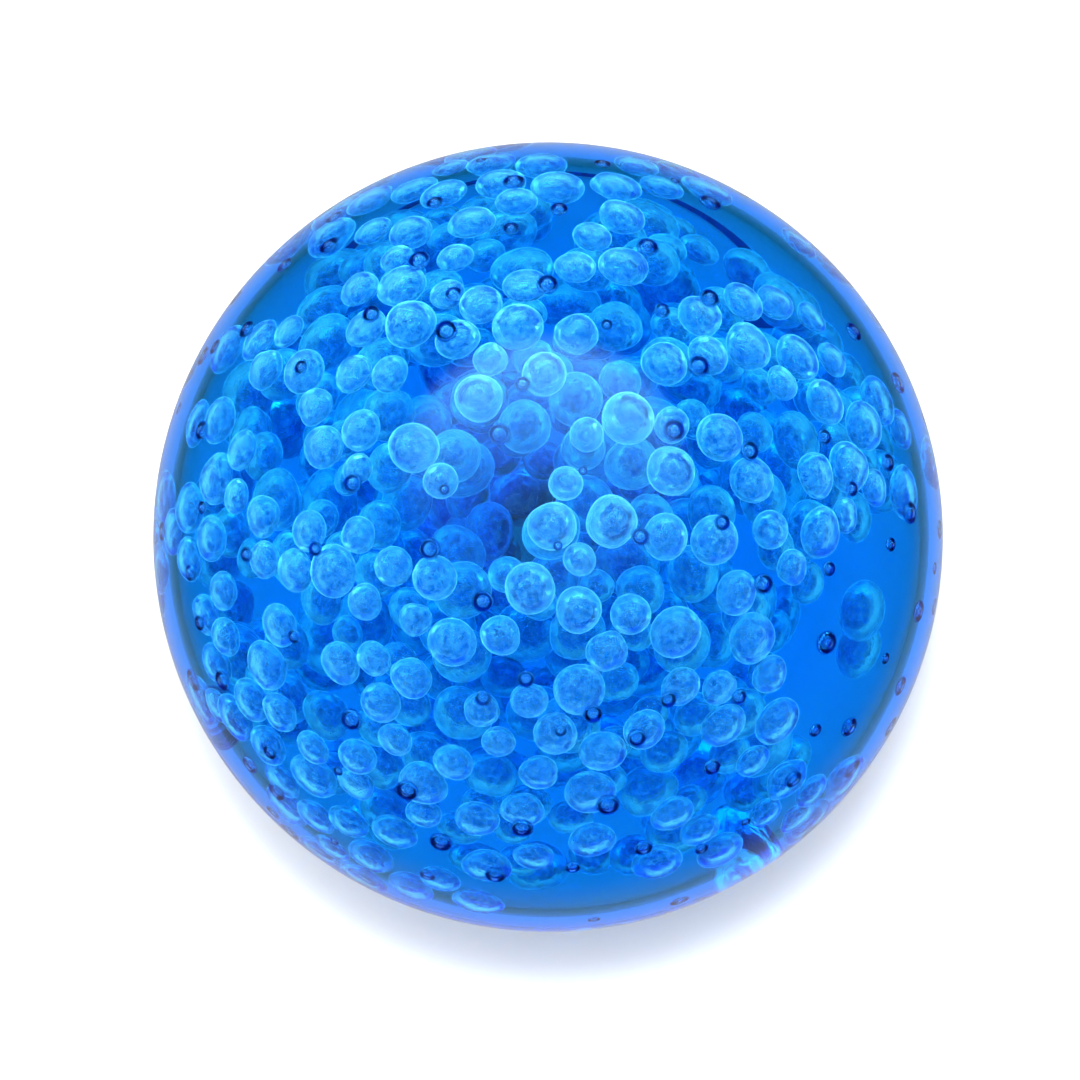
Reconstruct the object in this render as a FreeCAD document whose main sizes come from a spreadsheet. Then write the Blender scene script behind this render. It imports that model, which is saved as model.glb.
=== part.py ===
"""A bubble-glass paperweight: a solid ball of blue glass, full of trapped air, with a flat ground base.

A glassmaker builds such a ball outwards in gathers.  The first is a small core of plain dark glass.
Each gather after it is one charge of molten blue glass, taken up over the one before it after that
one has been pricked all over, so the pricks close into a layer of trapped bubbles.  One gather was
rolled in colour powder, which melted to a thin coat.  The last and thickest gather is the casing.
It holds only fine seeds, and its foot is ground and polished flat.

Frame: origin at the centre of the flat base, +Z up through the ball's centre.  Millimetres.
"""
import FreeCAD, Part

import math
import os
import random
from collections import namedtuple

import Sketcher
from FreeCAD import Placement, Rotation, Vector

# Driving dimensions of the finished ball, in millimetres.
BALL = [
    ("ball_radius", 40.0),     # outside of the casing
    ("base_grind", 3.4),       # height ground off the bottom to make the flat base
    ("base_bevel", 0.3),       # bevel round the base, where the grinding stops
    ("core_radius", 4.0),      # the first gather, which is plain dark glass with no bubbles
    ("coat_thickness", 0.5),   # layer of colour powder that the fifth gather was rolled in
]
COATED = "fifth_gather"

# One gather of glass, from the centre outwards.
#   outer_radius     where the next gather starts
#   bubble_distance  from the ball's centre to the middle of this gather's layer of bubbles
#   layer_spread     how far a bubble may sit inside or outside that middle
#   slots            places on the layer where the glass was pricked
#   cover            share of the slots that holds a bubble, 0 to 1
#   largest, smallest    bubble radius
#   channel          radius of the bubble-free channel down the middle, where the iron held the glass
Gather = namedtuple(
    "Gather", "name outer_radius bubble_distance layer_spread slots cover largest smallest channel")
GATHERS = [
    Gather("second_gather", 8.8, 6.4, 0.1, 28, 0.90, 2.3, 1.4, 1.2),
    Gather("third_gather", 13.8, 11.3, 0.1, 88, 0.90, 2.4, 1.4, 1.2),
    Gather("fourth_gather", 19.8, 16.8, 0.1, 150, 0.90, 2.8, 1.6, 1.2),
    Gather("fifth_gather", 25.2, 22.5, 0.1, 350, 0.72, 2.5, 1.4, 1.2),
    Gather("sixth_gather", 30.6, 28.2, 0.2, 620, 0.50, 2.3, 1.4, 2.0),
]
CASING = Gather("casing_gather", None, 34.8, 3.4, 290, 1.0, 1.0, 0.4, 0.0)
LOWEST_SEED = -6.0          # the casing's seeds rose in the soft glass: none is below this height

GOLDEN_ANGLE = math.pi * (3.0 - math.sqrt(5.0))
PONTIL_AXIS = Vector(-0.12, 0.0, 1.0).normalize()      # the gathers' own axis leans a little
WALL = 0.1                  # thinnest glass between two bubbles, or a bubble and its gather's faces
JITTER = 0.30               # how far a bubble strays from its slot, as a share of the slots' pitch
SEED = 7

# Bubbles gather in clumps.  How strongly they do so in one direction is a sum of sine waves, each
# given by how fast it runs along X, Y and Z and by where it starts, plus a lean to one side.
CLUMP_WAVES = [
    (Vector(6.1, 3.3, 0.0), 0.7),
    (Vector(0.0, 5.7, -4.9), 2.1),
    (Vector(5.9, 0.0, 7.3), -1.3),
    (Vector(9.9, -8.7, 0.0), 0.4),
    (Vector(8.1, 11.3, 0.0), 3.2),
]
CLUMP_LEAN = Vector(-0.8, 0.0, 2.4)      # they crowd towards the top, and a little to one side


def make_sheet(doc):
    """The spreadsheet with every driving dimension under a plain name."""
    sheet = doc.addObject("Spreadsheet::Sheet", "Sizes")
    rows = list(BALL)
    for gather in GATHERS + [CASING]:
        if gather.outer_radius:
            rows.append((gather.name + "_radius", gather.outer_radius))
        rows.append((gather.name + "_bubble_distance", gather.bubble_distance))
        rows.append((gather.name + "_largest_bubble", gather.largest))
        rows.append((gather.name + "_smallest_bubble", gather.smallest))
    for row, (alias, value) in enumerate(rows, start=1):
        sheet.set("A%d" % row, alias.replace("_", " "))
        sheet.set("B%d" % row, str(value))
        sheet.setAlias("B%d" % row, alias)
    doc.recompute()
    return sheet


def centre_height(sheet):
    """Height of the ball's centre above its flat base."""
    return sheet.ball_radius - sheet.base_grind


def clumping(direction):
    """How strongly bubbles gather in one direction from the ball's centre: high where they clump."""
    waves = sum(math.sin(direction.dot(run) + start) for run, start in CLUMP_WAVES)
    return waves + direction.dot(CLUMP_LEAN)


def layer_bubbles(sheet, gather, inner_radius, outer_radius):
    """Centres and radii of one gather's bubbles, about the ball's centre."""
    rng = random.Random("%s %d" % (gather.name, SEED))
    distance = sheet.get(gather.name + "_bubble_distance")
    largest = sheet.get(gather.name + "_largest_bubble")
    smallest = sheet.get(gather.name + "_smallest_bubble")
    pitch = math.sqrt(4.0 * math.pi / gather.slots)
    slots = []
    for index in range(gather.slots):
        polar = math.acos(1.0 - 2.0 * (index + 0.5) / gather.slots)
        polar += pitch * JITTER * rng.uniform(-1.0, 1.0)
        turn = index * GOLDEN_ANGLE + pitch * JITTER * rng.uniform(-1.0, 1.0)
        direction = Vector(
            math.sin(polar) * math.cos(turn), math.sin(polar) * math.sin(turn), math.cos(polar))
        centre = direction * (distance + gather.layer_spread * rng.uniform(-1.0, 1.0))
        wanted = rng.triangular(smallest, largest, largest)
        lowest = LOWEST_SEED if gather is CASING else -distance
        if centre.cross(PONTIL_AXIS).Length > gather.channel + wanted and centre.z > lowest:
            slots.append((clumping(direction), centre, wanted))
    slots.sort(key=lambda slot: -slot[0])
    bubbles = []
    for _, centre, wanted in slots[:round(gather.cover * len(slots))]:
        radius = min(
            [wanted, outer_radius - WALL - centre.Length, centre.Length - inner_radius - WALL]
            + [centre.distanceToPoint(other) - size - WALL for other, size in bubbles])
        if radius >= smallest:
            bubbles.append((centre, radius))
    return bubbles


def make_bubbles(doc, sheet, gather, inner_radius, outer_radius):
    """One gather's trapped air, as a group of separate spheres for cutting out of its glass."""
    spheres = [
        Part.makeSphere(radius, centre)
        for centre, radius in layer_bubbles(sheet, gather, inner_radius, outer_radius)]
    air = doc.addObject("Part::Feature", gather.name + "_air")
    air.Shape = Part.makeCompound(spheres)
    air.Placement = Placement(Vector(0, 0, centre_height(sheet)), Rotation())
    return air


def make_ball(doc, name, radius):
    """The solid ball that a layer's outside is, before its air and what it covers are taken out."""
    ball = doc.addObject("Part::Sphere", name + "_ball")
    ball.setExpression("Radius", radius)
    ball.setExpression("Placement.Base.z", "Sizes.ball_radius - Sizes.base_grind")
    return ball


def origin_plane(body, role):
    """One of a body's own origin planes."""
    return next(plane for plane in body.Origin.OriginFeatures if plane.Role == role)


def make_ground_ball(doc):
    """The finished outside: a ball whose foot is ground flat, with a fine bevel round the base."""
    body = doc.addObject("PartDesign::Body", "ground_ball")
    sketch = body.newObject("Sketcher::SketchObject", "ground_ball_profile")
    sketch.AttachmentSupport = (origin_plane(body, "XZ_Plane"), [""])
    sketch.MapMode = "FlatFace"

    radius = 40.0               # starting values only: the constraints below set the real ones
    height = 36.0
    circle = Part.Circle(Vector(0, height, 0), Vector(0, 0, 1), radius)
    outside = sketch.addGeometry(Part.ArcOfCircle(circle, math.radians(-60), math.radians(90)))
    axis = sketch.addGeometry(Part.LineSegment(Vector(0, height + radius, 0), Vector(0, 0, 0)))
    base = sketch.addGeometry(Part.LineSegment(Vector(0, 0, 0), Vector(15, 0, 0)))
    bevel = sketch.addGeometry(Part.LineSegment(Vector(15, 0, 0), Vector(16, 1, 0)))

    start, end, middle = 1, 2, 3
    origin, upright = -1, -2
    sketch.addConstraint([
        Sketcher.Constraint("Coincident", outside, end, axis, start),
        Sketcher.Constraint("Coincident", axis, end, base, start),
        Sketcher.Constraint("Coincident", base, end, bevel, start),
        Sketcher.Constraint("Coincident", bevel, end, outside, start),
        Sketcher.Constraint("Coincident", base, start, origin, start),
        Sketcher.Constraint("Vertical", axis),
        Sketcher.Constraint("Horizontal", base),
        Sketcher.Constraint("PointOnObject", outside, middle, upright),
    ])
    sized = [
        (Sketcher.Constraint("Radius", outside, radius), "Sizes.ball_radius"),
        (Sketcher.Constraint("DistanceY", origin, start, outside, middle, height),
         "Sizes.ball_radius - Sizes.base_grind"),
        (Sketcher.Constraint("DistanceX", bevel, start, bevel, end, 1.0), "Sizes.base_bevel"),
        (Sketcher.Constraint("DistanceY", bevel, start, bevel, end, 1.0), "Sizes.base_bevel"),
    ]
    for constraint, size in sized:
        index = sketch.addConstraint(constraint)
        sketch.setExpression("Constraints[%d]" % index, size)

    turned = body.newObject("PartDesign::Revolution", "ground_ball_turned")
    turned.Profile = sketch
    turned.ReferenceAxis = (sketch, ["V_Axis"])
    turned.Angle = 360.0
    body.Tip = turned
    return body


def cut_layer(doc, name, outside, hollows):
    """One layer of glass: its outside, less the ball that it covers and its own bubbles."""
    hollow = doc.addObject("Part::Compound", name + "_hollow")
    hollow.Links = hollows
    glass = doc.addObject("Part::Cut", name)
    glass.Base = outside
    glass.Tool = hollow
    glass.Label = name
    return glass


def make_layers(doc, sheet):
    """All the layers of glass, from the core to the casing."""
    core = make_ball(doc, "core_gather", "Sizes.core_radius")
    core.Label = "core_gather"
    layers = [core]
    covered = [core]
    inner_radius = sheet.core_radius
    for gather in GATHERS:
        outer_radius = sheet.get(gather.name + "_radius")
        air = make_bubbles(doc, sheet, gather, inner_radius, outer_radius)
        ball = make_ball(doc, gather.name, "Sizes.%s_radius" % gather.name)
        layers.append(cut_layer(doc, gather.name, ball, covered + [air]))
        covered = [ball]
        inner_radius = outer_radius
        if gather.name == COATED:
            coat = make_ball(
                doc, "colour_coat", "Sizes.%s_radius + Sizes.coat_thickness" % gather.name)
            layers.append(cut_layer(doc, "colour_coat", coat, covered))
            covered = [coat]
            inner_radius = outer_radius + sheet.coat_thickness
    air = make_bubbles(doc, sheet, CASING, inner_radius, centre_height(sheet))
    layers.append(cut_layer(doc, CASING.name, make_ground_ball(doc), covered + [air]))
    return layers


def check(doc, layers):
    """Stops with a message if an object failed or a sub-part has no valid single solid."""
    for item in doc.Objects:
        if "Invalid" in item.State or "Error" in item.State:
            raise RuntimeError("%s failed: %s" % (item.Name, item.State))
    for layer in layers:
        shape = layer.Shape
        if shape.isNull() or not shape.isValid() or len(shape.Solids) != 1:
            raise RuntimeError("%s has no single valid solid" % layer.Label)
        print("%-15s %8.1f mm3, %d faces" % (layer.Label, shape.Volume, len(shape.Faces)))


def write(layers):
    os.makedirs("parts", exist_ok=True)
    for layer in layers:
        layer.Shape.exportStep("parts/%s.step" % layer.Label)


def main():
    doc = FreeCAD.newDocument("bubble_ball")
    sheet = make_sheet(doc)
    layers = make_layers(doc, sheet)
    doc.recompute()
    check(doc, layers)
    write(layers)


main()
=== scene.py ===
"""Looks for the bubble-glass ball: its glass, its trapped air, and the studio that it stands in."""
import math

import bmesh
import bpy
import numpy as np
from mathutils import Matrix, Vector


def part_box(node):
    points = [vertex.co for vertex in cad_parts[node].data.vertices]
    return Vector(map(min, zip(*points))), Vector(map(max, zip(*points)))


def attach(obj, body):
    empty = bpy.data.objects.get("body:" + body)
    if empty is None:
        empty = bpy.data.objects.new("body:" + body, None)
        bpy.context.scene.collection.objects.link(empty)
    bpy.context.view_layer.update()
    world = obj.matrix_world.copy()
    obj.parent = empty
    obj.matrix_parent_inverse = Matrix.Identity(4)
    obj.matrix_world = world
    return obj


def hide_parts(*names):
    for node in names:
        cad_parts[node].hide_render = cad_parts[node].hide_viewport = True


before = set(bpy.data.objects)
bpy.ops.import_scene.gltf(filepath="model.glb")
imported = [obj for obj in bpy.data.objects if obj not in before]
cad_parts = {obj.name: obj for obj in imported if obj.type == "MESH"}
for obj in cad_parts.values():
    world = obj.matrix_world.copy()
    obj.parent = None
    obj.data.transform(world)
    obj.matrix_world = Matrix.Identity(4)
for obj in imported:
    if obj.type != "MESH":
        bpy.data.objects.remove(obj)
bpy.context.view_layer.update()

# ---------------------------------------------------------------------------
# The ball, in metres, from the frame
# ---------------------------------------------------------------------------

CASING_TOP = Vector(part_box("casing_gather")[1])
BALL_RADIUS = min(CASING_TOP.x, CASING_TOP.y)
CENTRE = Vector((0, 0, CASING_TOP.z - BALL_RADIUS))
BASE_BEVEL = 0.0003
PRICKED_GATHERS = ["second_gather", "third_gather", "fourth_gather", "fifth_gather", "sixth_gather"]
LARGEST_BUBBLE = 0.08 * BALL_RADIUS         # a closed surface larger than this isn't a bubble

UNEVENNESS = 0.08           # how far a bubble's wall strays from round, as a share of its radius
SEED_UNEVENNESS = 0.01
BUBBLE_WIDTH = 1.06         # a visible bubble's width, as a share of its CAD hollow's
PRESSED = -0.35             # change in a bubble's length along the ball's radius, as a share
DRAWN_OUT = 0.7             # the same at the top, where the glass was drawn out towards the iron
DRAWN_ZONE = math.cos(math.radians(32))     # bubbles within this angle of the top are drawn out
WAVINESS = 1.8              # how closely the waves in a bubble's wall follow each other
PAINTED_SHADE_RING_INSIDE = 1.02          # radii of the dark shell round a seed that paints a shaded ring on it, as shares of the seed's own
PAINTED_SHADE_RING_OUTSIDE = 1.09
BUBBLE_LEVEL = 4            # subdivisions of the round mesh that a bubble starts from
SEED_LEVEL = 3

# ---------------------------------------------------------------------------
# Glass
# ---------------------------------------------------------------------------

GLASS_IOR = 1.5
NO_BEND = 1.0                            # index between two glasses that are fused together
WHITE = (1.0, 1.0, 1.0)

# Light lost per metre of glass, for red, green and blue
BLUE_ABSORPTION = (88.0, 23.5, 5.2)
CORE_ABSORPTION = (80.0, 60.0, 120.0)
COAT_ABSORPTION = (70.0, 70.0, 130.0)
# Absorption of the dark shells round the seeds, which paints a shaded ring round each seed
PAINTED_SHADE_RING_ABSORPTION = (2600.0, 1700.0, 800.0)

GROUND_ROUGHNESS = 0.35
POLISHED_ROUGHNESS = 0.03
POLISHED_WAVES = 0.00004                 # heights of relief, in metres
SPECK_HEIGHT = 0.0001

# ---------------------------------------------------------------------------
# Studio
# ---------------------------------------------------------------------------

FLOOR_HALF = 3.0
FLOOR_DROP = 0.0003                      # how far the floor lies below the ball, to keep them apart
FLOOR_GLOW = 0.35
FLOOR_SHADE = 0.45
GLOW_UNDER_BALL = 1.0
GLOW_FAR_AWAY = 0.7                      # added far off, where the key light no longer reaches

SOFTBOX_HALF = 0.7
SOFTBOX_PLACE = (-0.03, 0.22, 0.8)
SOFTBOX_STRENGTH = 4.0
SOFTBOX_COLOUR = (0.5, 0.9, 1.0)

KEY_SIZE = 0.25
KEY_POWER = 14.0
KEY_PLACE = Vector((-0.028, 0.028, 0.8))

SKY_LEAN = Vector((-0.15, 0.5, 1.0)).normalized()       # the direction that the sky is brightest in
SKY_DIMMEST = 0.9
SKY_BRIGHTEST = 38.0
SKY_SEEN = 0.33             # share of the sky's light where it is seen through clear glass
BACKDROP = 1.2

CAMERA_ELEVATION = math.radians(81)
CAMERA_LENS = 100.0
CAMERA_SENSOR = 36.0
CAMERA_SHIFT = (-0.0074, -0.0028)
BALL_SHARE = 0.3657         # ball's radius as a share of the picture's width
MOST_BOUNCES = 24
MOST_MIRRORINGS = 16


# ---------------------------------------------------------------------------
# Meshes
# ---------------------------------------------------------------------------

def make_piece(name, verts, faces):
    """A smooth-shaded mesh object."""
    mesh = bpy.data.meshes.new(name)
    mesh.from_pydata([tuple(vert) for vert in verts], [], faces)
    mesh.update()
    mesh.shade_smooth()
    piece = bpy.data.objects.new(name, mesh)
    bpy.context.scene.collection.objects.link(piece)
    return piece


def make_square(name, half, height):
    """A level square sheet that faces up."""
    corners = [(-half, -half, height), (half, -half, height), (half, half, height), (-half, half, height)]
    return make_piece(name, corners, [(0, 1, 2, 3)])


def unit_sphere(level):
    """Points and triangles of a round sphere of radius 1."""
    shape = bmesh.new()
    bmesh.ops.create_icosphere(shape, subdivisions=level, radius=1.0)
    points = np.array([vert.co[:] for vert in shape.verts])
    faces = np.array([[vert.index for vert in face.verts] for face in shape.faces])
    shape.free()
    return points, faces


def closed_shells(node):
    """Centre and radius of every closed surface of a CAD node: its outside, its hollow, its bubbles."""
    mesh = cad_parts[node].data
    points = np.empty(len(mesh.vertices) * 3)
    mesh.vertices.foreach_get("co", points)
    edges = np.empty(len(mesh.edges) * 2, dtype=np.int64)
    mesh.edges.foreach_get("vertices", edges)
    points, welded = np.unique(np.round(points.reshape(-1, 3), 6), axis=0, return_inverse=True)
    start, end = welded.reshape(-1)[edges].reshape(-1, 2).T

    # Points that an edge joins take the lower of their two labels, until each shell has one label.
    label = np.arange(len(points))
    before = None
    while not np.array_equal(label, before):
        before = label.copy()
        least = np.minimum(label[start], label[end])
        np.minimum.at(label, start, least)
        np.minimum.at(label, end, least)
        label = label[label]

    shells = []
    for one in np.unique(label):
        low = points[label == one].min(axis=0)
        high = points[label == one].max(axis=0)
        shells.append(((low + high) / 2, (high - low).max() / 2))
    return shells


def bubbles_of(node):
    """Centre and radius of each bubble of a node: its shells, less its outside and inner hollow."""
    return [(centre, radius) for centre, radius in closed_shells(node) if radius < LARGEST_BUBBLE]


def spheres(name, balls, level, inward=False):
    """Many round balls in one mesh, each given by its centre and radius."""
    points, faces = unit_sphere(level)
    if inward:
        faces = faces[:, ::-1]
    verts = [centre + radius * points for centre, radius in balls]
    all_faces = [faces + number * len(points) for number in range(len(balls))]
    return make_piece(name, np.concatenate(verts), np.concatenate(all_faces).tolist())


def bubble_walls(name, node, level, uneven, wide, stretch, pole_stretch):
    """Walls of a node's bubbles, wound so that their normals point into the air.

    uneven is how far a wall strays from round, as a share of its radius, and wide the width of a
    bubble as a share of its CAD hollow's.  stretch is how much longer a bubble is along the ball's
    radius than across it, negative where the next gather pressed it flat, and pole_stretch is the
    same at the top of the ball.
    """
    points, faces = unit_sphere(level)
    rng = np.random.default_rng(len(name))
    all_points = []
    all_faces = []
    for number, (centre, radius) in enumerate(bubbles_of(node)):
        outward = centre - np.array(CENTRE)
        outward /= np.linalg.norm(outward)
        waves = rng.normal(0.0, WAVINESS, (3, 3))
        phases = rng.uniform(0.0, 2 * math.pi, 3)
        swell = 1.0 - uneven + uneven * np.sin(points @ waves.T + phases).mean(axis=1)
        nearness = max(0.0, (outward[2] - DRAWN_ZONE) / (1 - DRAWN_ZONE))
        longer = (stretch + (pole_stretch - stretch) * nearness) * rng.uniform(0.3, 1.0)
        shape = points * swell[:, None] + np.outer((points @ outward) * longer, outward)
        all_points.append(centre + wide * radius * shape)
        all_faces.append(faces[:, ::-1] + number * len(points))
    return make_piece(name, np.concatenate(all_points), np.concatenate(all_faces).tolist())


def make_seed_painted_shade_rings():
    """Dark hollow shells round each seed of the casing, a little off the walls, that paint a shaded ring
    round the seed.
    """
    seeds = bubbles_of("casing_gather")
    outer = [(centre, radius * PAINTED_SHADE_RING_OUTSIDE) for centre, radius in seeds]
    inner = [(centre, radius * PAINTED_SHADE_RING_INSIDE) for centre, radius in seeds]
    painted_shade_rings = spheres("seed_painted_shade_rings", outer, SEED_LEVEL)
    lining = spheres("seed_painted_shade_ring_lining", inner, SEED_LEVEL, inward=True)
    shape = bmesh.new()
    shape.from_mesh(painted_shade_rings.data)
    shape.from_mesh(lining.data)
    shape.to_mesh(painted_shade_rings.data)
    shape.free()
    painted_shade_rings.data.shade_smooth()
    bpy.data.objects.remove(lining)
    return painted_shade_rings


def turned(name, profile, around):
    """A closed piece turned about Z from a profile of (radius, height) points, top to bottom."""
    verts = [Vector((0, 0, profile[0][1]))]
    for radius, height in profile[1:-1]:
        for step in range(around):
            angle = 2 * math.pi * step / around
            verts.append(Vector((radius * math.cos(angle), radius * math.sin(angle), height)))
    verts.append(Vector((0, 0, profile[-1][1])))
    rings = len(profile) - 2
    faces = [(0, 1 + step, 1 + (step + 1) % around) for step in range(around)]
    for ring in range(rings - 1):
        for step in range(around):
            here = 1 + ring * around + step
            beside = 1 + ring * around + (step + 1) % around
            faces.append((here, here + around, beside + around, beside))
    last = 1 + (rings - 1) * around
    foot = len(verts) - 1
    faces += [(last + (step + 1) % around, last + step, foot) for step in range(around)]
    return make_piece(name, verts, faces)


def make_casing():
    """The outside of the ball: round, with a flat ground base and a fine bevel round it."""
    steps_down = 150
    steps_around = 240
    sharp_edge = math.radians(10)
    bevel_polar = math.acos(-(CENTRE.z - BASE_BEVEL) / BALL_RADIUS)
    profile = []
    for step in range(steps_down + 1):
        polar = bevel_polar * step / steps_down
        profile.append((BALL_RADIUS * math.sin(polar), CENTRE.z + BALL_RADIUS * math.cos(polar)))
    base_radius = profile[-1][0] - BASE_BEVEL
    profile.append((base_radius, 0.0))
    profile.append((base_radius / 2, 0.0))
    profile.append((0.0, 0.0))
    piece = turned("casing", profile, steps_around)
    piece.data.set_sharp_from_angle(angle=sharp_edge)
    return piece


# ---------------------------------------------------------------------------
# Materials
# ---------------------------------------------------------------------------

def ramp(tree, value, start, end, low, high, smooth=False):
    """A value that goes from low to high as another goes from start to end."""
    node = tree.nodes.new("ShaderNodeMapRange")
    if smooth:
        node.interpolation_type = "SMOOTHSTEP"
    node.inputs["From Min"].default_value = start
    node.inputs["From Max"].default_value = end
    node.inputs["To Min"].default_value = low
    node.inputs["To Max"].default_value = high
    tree.links.new(value, node.inputs["Value"])
    return node.outputs["Result"]


def combine(tree, operation, first, second):
    """The result of an operation such as ADD, MULTIPLY or MAXIMUM on two values."""
    node = tree.nodes.new("ShaderNodeMath")
    node.operation = operation
    tree.links.new(first, node.inputs[0])
    tree.links.new(second, node.inputs[1])
    return node.outputs["Value"]


def place_on_object(tree):
    """Where a point is on its own object, in metres."""
    return tree.nodes.new("ShaderNodeTexCoord").outputs["Object"]


def distance(tree, low, high, inner, outer):
    """A value that goes smoothly from low, inside the inner radius, to high, outside the outer one."""
    length = tree.nodes.new("ShaderNodeVectorMath")
    length.operation = "LENGTH"
    tree.links.new(place_on_object(tree), length.inputs[0])
    return ramp(tree, length.outputs["Value"], inner, outer, low, high, smooth=True)


def along(tree, axis):
    """How far a point is along one axis of its own object: X, Y or Z."""
    split = tree.nodes.new("ShaderNodeSeparateXYZ")
    tree.links.new(place_on_object(tree), split.inputs[0])
    return split.outputs[axis]


class Shader:
    """A material with one Principled shader and short ways to add nodes to it."""

    def __init__(self, name):
        self.material = bpy.data.materials.new(name)
        self.material.use_nodes = True
        self.tree = self.material.node_tree
        self.surface = self.tree.nodes["Principled BSDF"]

    def set(self, **values):
        """Sets sockets of the shader: words joined by _ stand for the socket's name."""
        for name, value in values.items():
            self.surface.inputs[name.replace("_", " ")].default_value = value

    def drive(self, socket, source):
        """Lets a pattern set a socket of the shader."""
        self.tree.links.new(source, self.surface.inputs[socket])

    def noise(self, scale, detail=2.0, distortion=0.0):
        """A noise pattern fixed to the object, whose features are about 1 / scale metres."""
        node = self.tree.nodes.new("ShaderNodeTexNoise")
        node.inputs["Scale"].default_value = scale
        node.inputs["Detail"].default_value = detail
        node.inputs["Distortion"].default_value = distortion
        self.tree.links.new(place_on_object(self.tree), node.inputs["Vector"])
        return node.outputs["Fac"]

    def tint(self, value, first, second):
        """Colours the surface from first to second with a pattern."""
        node = self.tree.nodes.new("ShaderNodeValToRGB")
        node.color_ramp.elements[0].position = 0.35
        node.color_ramp.elements[0].color = (*first, 1)
        node.color_ramp.elements[1].position = 0.65
        node.color_ramp.elements[1].color = (*second, 1)
        self.tree.links.new(value, node.inputs["Fac"])
        self.drive("Base Color", node.outputs["Color"])

    def bump(self, value, height):
        """Relief of the given height in metres."""
        node = self.tree.nodes.new("ShaderNodeBump")
        node.inputs["Distance"].default_value = height
        self.tree.links.new(value, node.inputs["Height"])
        self.drive("Normal", node.outputs["Normal"])

    def absorb(self, losses):
        """Tints what is inside the surface: losses are per metre for red, green and blue."""
        density = max(losses)
        node = self.tree.nodes.new("ShaderNodeVolumeAbsorption")
        node.inputs["Density"].default_value = density
        node.inputs["Color"].default_value = (*(1 - loss / density for loss in losses), 1)
        self.tree.links.new(node.outputs["Volume"], self.tree.nodes["Material Output"].inputs["Volume"])


def casing_glass():
    """Blue glass: fire-polished and faintly wavy outside, satin where the base was ground."""
    shader = Shader("casing_glass")
    shader.set(IOR=GLASS_IOR, Transmission_Weight=1.0, Base_Color=(*WHITE, 1))
    polished = ramp(shader.tree, shader.noise(60.0, 4.0, 0.6), 0.5, 0.75, 0.0, POLISHED_ROUGHNESS)
    ground = ramp(shader.tree, along(shader.tree, "Z"), BASE_BEVEL, 1.3 * BASE_BEVEL, GROUND_ROUGHNESS, 0.0)
    shader.drive("Roughness", combine(shader.tree, "MAXIMUM", polished, ground))
    shader.bump(shader.noise(45.0, 1.0), POLISHED_WAVES)
    shader.absorb(BLUE_ABSORPTION)
    return shader.material


def seed_glass():
    """The wall of a fine seed in the casing: smooth, with hardly a speck on it."""
    shader = Shader("seed_glass")
    shader.set(IOR=GLASS_IOR, Transmission_Weight=1.0, Specular_IOR_Level=0.1, Roughness=0.0)
    shader.tint(shader.noise(900.0), (0.85, 0.92, 1.0), WHITE)
    return shader.material


def bubble_glass():
    """The wall of a pricked bubble: clear, with a light frost in specks from the soda that made it."""
    shader = Shader("bubble_glass")
    shader.set(IOR=GLASS_IOR, Transmission_Weight=0.94, Sheen_Weight=1.0, Sheen_Roughness=0.32)
    specks = shader.noise(2300.0, 4.0, 0.5)
    shader.tint(specks, (0.03, 0.3, 0.6), WHITE)
    shader.drive("Roughness", ramp(shader.tree, shader.noise(900.0, 3.0), 0.35, 0.65, 0.0, 0.08))
    shader.bump(specks, SPECK_HEIGHT)
    return shader.material


def fused_glass(name, pattern_scale, detail, distortion, thin_tint, losses):
    """Glass fused to what is round it: it neither bends light nor mirrors it, and only absorbs it."""
    shader = Shader(name)
    shader.set(IOR=NO_BEND, Transmission_Weight=1.0, Roughness=0.0)
    shader.tint(shader.noise(pattern_scale, detail, distortion), thin_tint, WHITE)
    shader.absorb(losses)
    return shader.material


def painted_shade_ring_glass():
    """Dark glass round a seed that paints a shaded ring where it is edge-on."""
    return fused_glass("painted_shade_ring_glass", 800.0, 2.0, 0.0, (0.9, 0.95, 1.0), PAINTED_SHADE_RING_ABSORPTION)


def core_glass():
    """The dark glass of the first gather."""
    return fused_glass("core_glass", 300.0, 2.0, 1.0, (0.75, 0.85, 0.85), CORE_ABSORPTION)


def coat_glass():
    """Melted colour powder: almost clear face-on, a dark line edge-on."""
    return fused_glass("coat_glass", 120.0, 3.0, 0.5, (0.92, 0.95, 1.0), COAT_ABSORPTION)


# ---------------------------------------------------------------------------
# The ball
# ---------------------------------------------------------------------------

def place(piece, material, slot, *nodes):
    """Gives a piece its material, hangs it on the root body and hides the CAD nodes that it stands for. The
    slot is not used.
    """
    piece.data.materials.append(material)
    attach(piece, "root")
    if nodes:
        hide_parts(*nodes)


def dress(node, material):
    """Gives a CAD node that shows as it is a material."""
    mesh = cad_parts[node].data
    mesh.materials.clear()
    mesh.materials.append(material)


def make_ball():
    """The casing, its seeds, the two plain layers of glass and the bubbles of each pricked gather."""
    place(make_casing(), casing_glass(), "polished_blue_glass", "casing_gather")
    seeds = bubble_walls("casing_seeds", "casing_gather", SEED_LEVEL, SEED_UNEVENNESS, 1.0, 0.0, 0.0)
    place(seeds, seed_glass(), "polished_blue_glass")
    # Dark shells that paint a shaded ring round each seed
    place(make_seed_painted_shade_rings(), painted_shade_ring_glass(), "polished_blue_glass")
    dress("core_gather", core_glass())
    dress("colour_coat", coat_glass())
    frosted = bubble_glass()
    for gather in PRICKED_GATHERS:
        walls = bubble_walls(gather + "_bubbles", gather, BUBBLE_LEVEL, UNEVENNESS, BUBBLE_WIDTH,
                             PRESSED, DRAWN_OUT)
        place(walls, frosted, "blue_glass", gather)


# ---------------------------------------------------------------------------
# The studio
# ---------------------------------------------------------------------------

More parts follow.
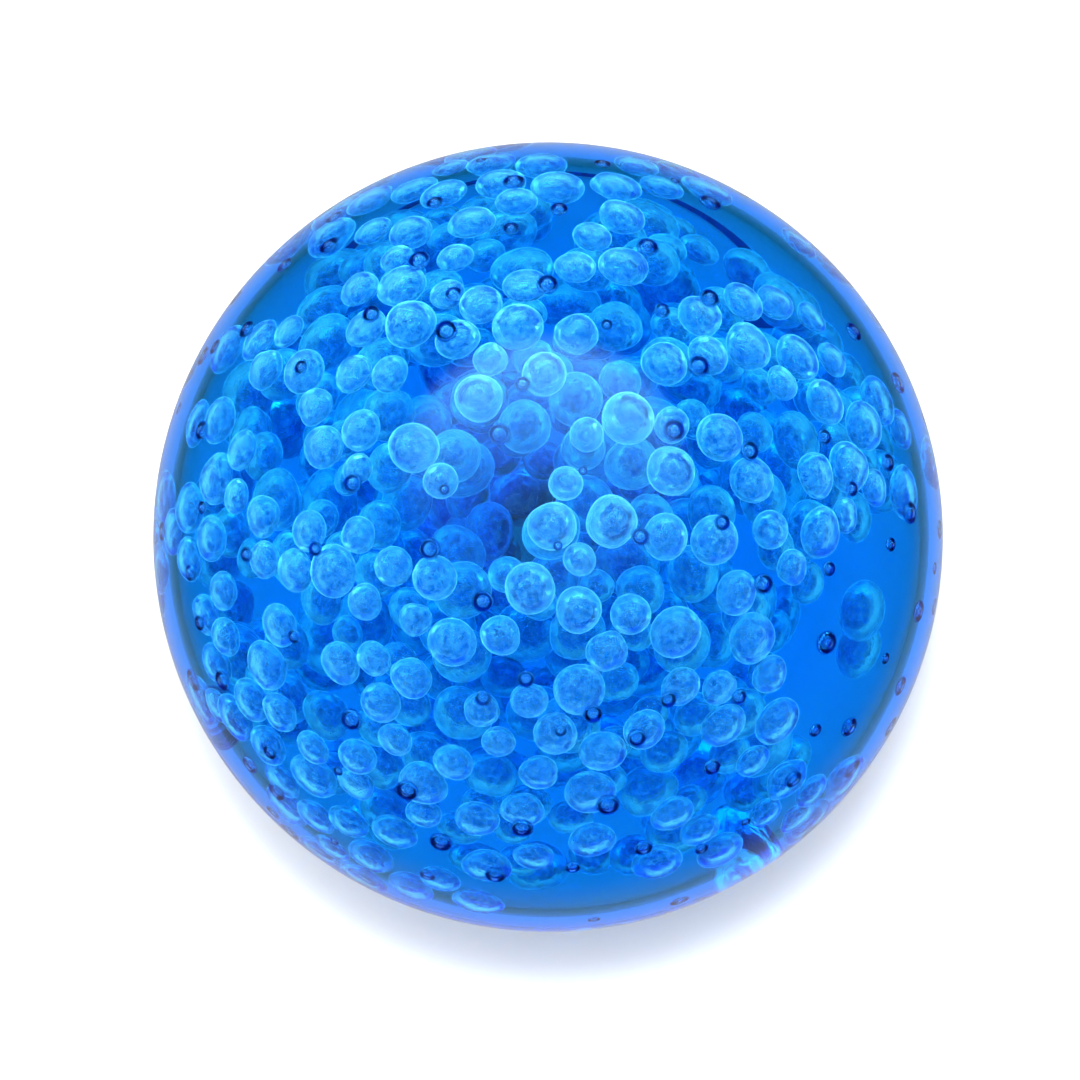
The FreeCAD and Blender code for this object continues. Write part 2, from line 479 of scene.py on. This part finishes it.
def matt_sheet(name, height, glow, shade, glow_far_away=None):
    """A matt sheet under the ball.

    glow and shade are what it gives off and how pale it is, each as (near, far, inner radius, outer
    radius); a shade that is darker near the ball paints a shadow there.  glow_far_away is a glow that is
    added further off, given in the same way.
    """
    sheet = make_square(name, FLOOR_HALF, height)
    shader = Shader(name)
    shader.set(Roughness=0.8, Specular_IOR_Level=0.0, Emission_Color=(*WHITE, 1))
    given_off = distance(shader.tree, *glow)
    if glow_far_away:
        given_off = combine(shader.tree, "ADD", given_off, distance(shader.tree, *glow_far_away))
    shader.drive("Emission Strength", given_off)
    shader.drive("Base Color", distance(shader.tree, *shade))
    sheet.data.materials.append(shader.material)
    return sheet


def make_floor():
    """A pale matt floor that glows under the ball like a light table, with a painted shadow close round the
    ball.
    """
    glow = (GLOW_UNDER_BALL, FLOOR_GLOW, 0.42 * BALL_RADIUS, 1.05 * BALL_RADIUS)
    # Painted shadow round the ball: the floor is darker within 1.05 ball radii and pales out by 1.2
    shade = (0.26, FLOOR_SHADE, 1.05 * BALL_RADIUS, 1.2 * BALL_RADIUS)
    floor = matt_sheet("floor", -FLOOR_DROP, glow, shade, glow_far_away=(0.0, GLOW_FAR_AWAY, 0.15, 1.3))
    floor.visible_glossy = False


def make_mirrored_floor():
    """A darker floor that only reflections see, so that the ball's face mirrors little of the floor."""
    glow = (0.45, 0.02, 1.3 * BALL_RADIUS, 3.0 * BALL_RADIUS)
    black = (0.0, 0.0, BALL_RADIUS, 2 * BALL_RADIUS)
    mirrored = matt_sheet("mirrored_floor", -2 * FLOOR_DROP, glow, black)
    mirrored.visible_camera = False
    mirrored.visible_transmission = False
    mirrored.visible_diffuse = False
    mirrored.visible_shadow = False


def make_softbox():
    """A broad overhead softbox, brighter along its far edge, that the ball's face mirrors as a haze."""
    softbox = make_square("softbox", SOFTBOX_HALF, 0.0)
    softbox.location = SOFTBOX_PLACE
    softbox.visible_diffuse = False
    softbox.visible_shadow = False
    material = bpy.data.materials.new("softbox")
    material.use_nodes = True
    tree = material.node_tree
    tree.nodes.clear()
    brighter = ramp(tree, along(tree, "Y"), -0.35, 0.5, 0.12, 1.0, smooth=True)
    faded_edge = distance(tree, SOFTBOX_STRENGTH, 0.0, 0.65 * SOFTBOX_HALF, SOFTBOX_HALF)
    glow = tree.nodes.new("ShaderNodeEmission")
    glow.inputs["Color"].default_value = (*SOFTBOX_COLOUR, 1)
    tree.links.new(combine(tree, "MULTIPLY", brighter, faded_edge), glow.inputs["Strength"])
    output = tree.nodes.new("ShaderNodeOutputMaterial")
    tree.links.new(glow.outputs["Emission"], output.inputs["Surface"])
    softbox.data.materials.append(material)


def make_key_light():
    """A smaller lamp up to the left, whose soft shadow falls to the lower right."""
    data = bpy.data.lights.new("key", "AREA")
    data.shape = "DISK"
    data.size = KEY_SIZE
    data.energy = KEY_POWER
    key = bpy.data.objects.new("key", data)
    bpy.context.scene.collection.objects.link(key)
    key.location = KEY_PLACE
    key.rotation_euler = (KEY_PLACE - CENTRE).to_track_quat("Z", "Y").to_euler()
    key.visible_glossy = False


def make_world():
    """A sky that is brightest above and behind: seen through the glass, not mirrored in its face."""
    world = bpy.data.worlds.new("studio")
    world.use_nodes = True
    world.cycles_visibility.glossy = False
    world.cycles_visibility.diffuse = False
    tree = world.node_tree
    direction = tree.nodes.new("ShaderNodeTexCoord")
    lean = tree.nodes.new("ShaderNodeVectorMath")
    lean.operation = "DOT_PRODUCT"
    lean.inputs[1].default_value = SKY_LEAN
    tree.links.new(direction.outputs["Generated"], lean.inputs[0])
    sky = ramp(tree, lean.outputs["Value"], 0.15, 1.0, SKY_DIMMEST, SKY_BRIGHTEST, smooth=True)

    # Light that has met the frost counts in full, and light that comes straight through is dimmer.
    path = tree.nodes.new("ShaderNodeLightPath")
    share = ramp(tree, path.outputs["Diffuse Depth"], 0.0, 1.0, SKY_SEEN, 1.0)
    backdrop = tree.nodes.new("ShaderNodeMix")
    tree.links.new(path.outputs["Is Camera Ray"], backdrop.inputs["Factor"])
    tree.links.new(combine(tree, "MULTIPLY", sky, share), backdrop.inputs["A"])
    backdrop.inputs["B"].default_value = BACKDROP
    tree.links.new(backdrop.outputs["Result"], tree.nodes["Background"].inputs["Strength"])
    tree.nodes["Background"].inputs["Color"].default_value = (*WHITE, 1)
    bpy.context.scene.world = world


def make_camera():
    """Looks almost straight down on the ball."""
    data = bpy.data.cameras.new("camera")
    data.lens = CAMERA_LENS
    data.sensor_width = CAMERA_SENSOR
    data.shift_x, data.shift_y = CAMERA_SHIFT
    camera = bpy.data.objects.new("camera", data)
    bpy.context.scene.collection.objects.link(camera)
    back = Vector((0, -math.cos(CAMERA_ELEVATION), math.sin(CAMERA_ELEVATION)))
    half_angle = math.atan(BALL_SHARE * CAMERA_SENSOR / CAMERA_LENS)
    camera.location = CENTRE + back * BALL_RADIUS / math.sin(half_angle)
    camera.rotation_euler = back.to_track_quat("Z", "Y").to_euler()
    bpy.context.scene.camera = camera


def set_rendering():
    """Plain colours, and enough bounces for light to pass through many bubbles."""
    scene = bpy.context.scene
    scene.view_settings.view_transform = "Standard"
    scene.view_settings.look = "Medium High Contrast"
    scene.cycles.max_bounces = MOST_BOUNCES
    scene.cycles.transmission_bounces = MOST_BOUNCES
    scene.cycles.glossy_bounces = MOST_MIRRORINGS


make_ball()
make_floor()
make_mirrored_floor()
make_softbox()
make_key_light()
make_world()
make_camera()
set_rendering()
